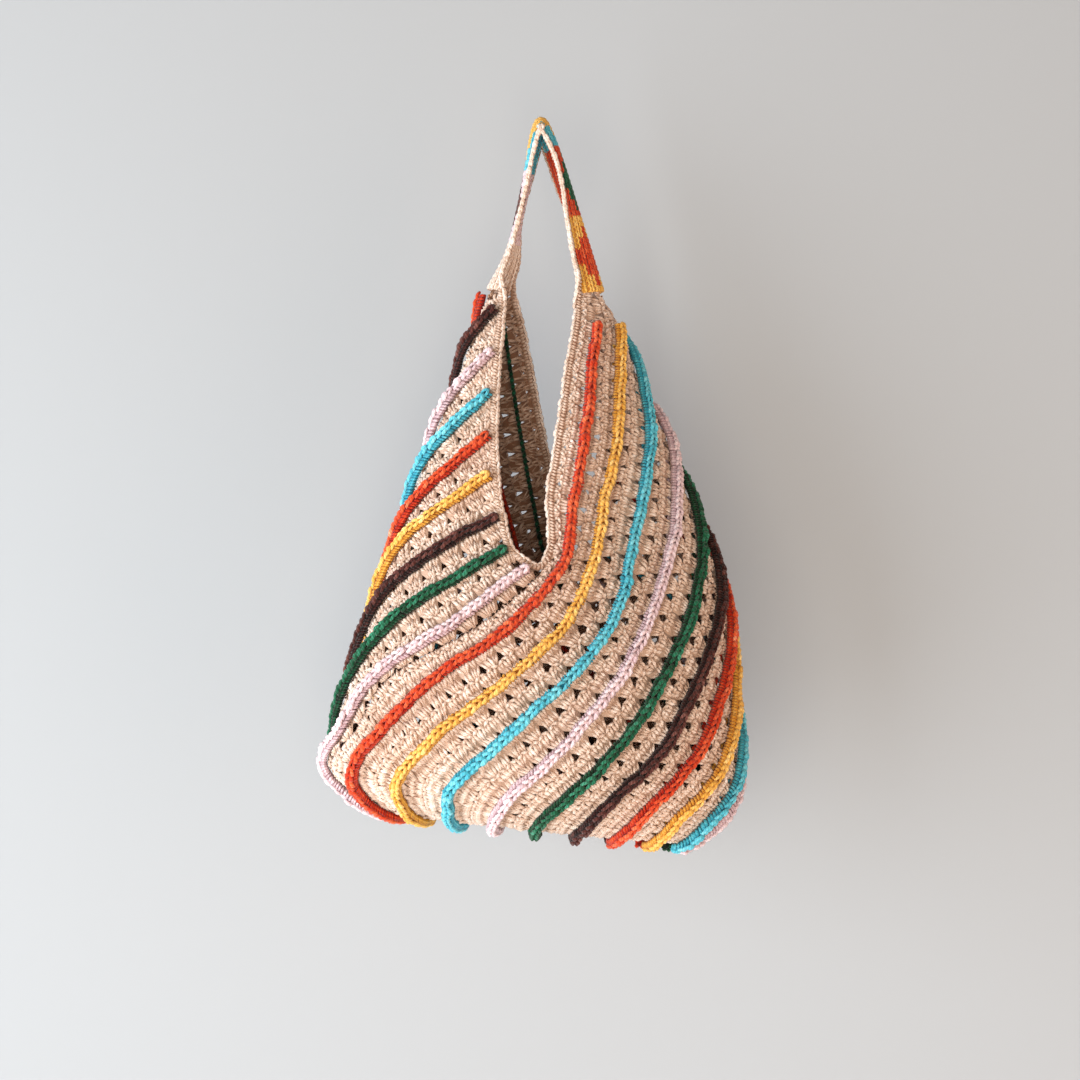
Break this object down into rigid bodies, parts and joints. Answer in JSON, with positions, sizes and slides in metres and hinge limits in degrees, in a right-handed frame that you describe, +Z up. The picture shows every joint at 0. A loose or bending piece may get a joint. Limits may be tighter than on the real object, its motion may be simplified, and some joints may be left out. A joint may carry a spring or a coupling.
{
  "type": "crochet hobo bag",
  "caption": "Hand-crocheted beige cotton hobo bag with raised colourful ribs and a diamond-patterned strap, hanging by its strap.",
  "frame": {"origin": "underside of the strap at its highest point, where the bag hangs on a hook or peg", "axes": "+Z up along the hang, -Y out of the front that the picture shows, +X to that front's right"},
  "size_m": [0.3594, 0.229, 0.6328],
  "materials": {
    "beige_yarn": "matte",
    "orange_yarn": "matte",
    "brown_yarn": "matte",
    "pink_yarn": "matte",
    "turquoise_yarn": "matte",
    "yellow_yarn": "matte",
    "green_yarn": "matte",
    "strap_yarn": "matte"
  },
  "bodies": {
    "root": {"front_panel": "beige_yarn", "back_panel": "beige_yarn", "rib_01_orange": "orange_yarn", "rib_02_brown": "brown_yarn", "rib_03_pink": "pink_yarn", "rib_04_turquoise": "turquoise_yarn", "rib_05_orange": "orange_yarn", "rib_06_yellow": "yellow_yarn", "rib_07_brown": "brown_yarn", "rib_08_green": "green_yarn", "rib_09_pink": "pink_yarn", "rib_10_orange": "orange_yarn", "rib_11_yellow": "yellow_yarn", "rib_12_turquoise": "turquoise_yarn", "rib_13_pink": "pink_yarn", "rib_14_green": "green_yarn", "rib_15_brown": "brown_yarn", "rib_16_orange": "orange_yarn", "rib_17_yellow": "yellow_yarn", "rib_18_turquoise": "turquoise_yarn", "rib_19_pink": "pink_yarn", "rib_20_green": "green_yarn", "front_edging": "beige_yarn", "back_edging": "beige_yarn", "strap": "strap_yarn"}
  },
  "joints": []
}
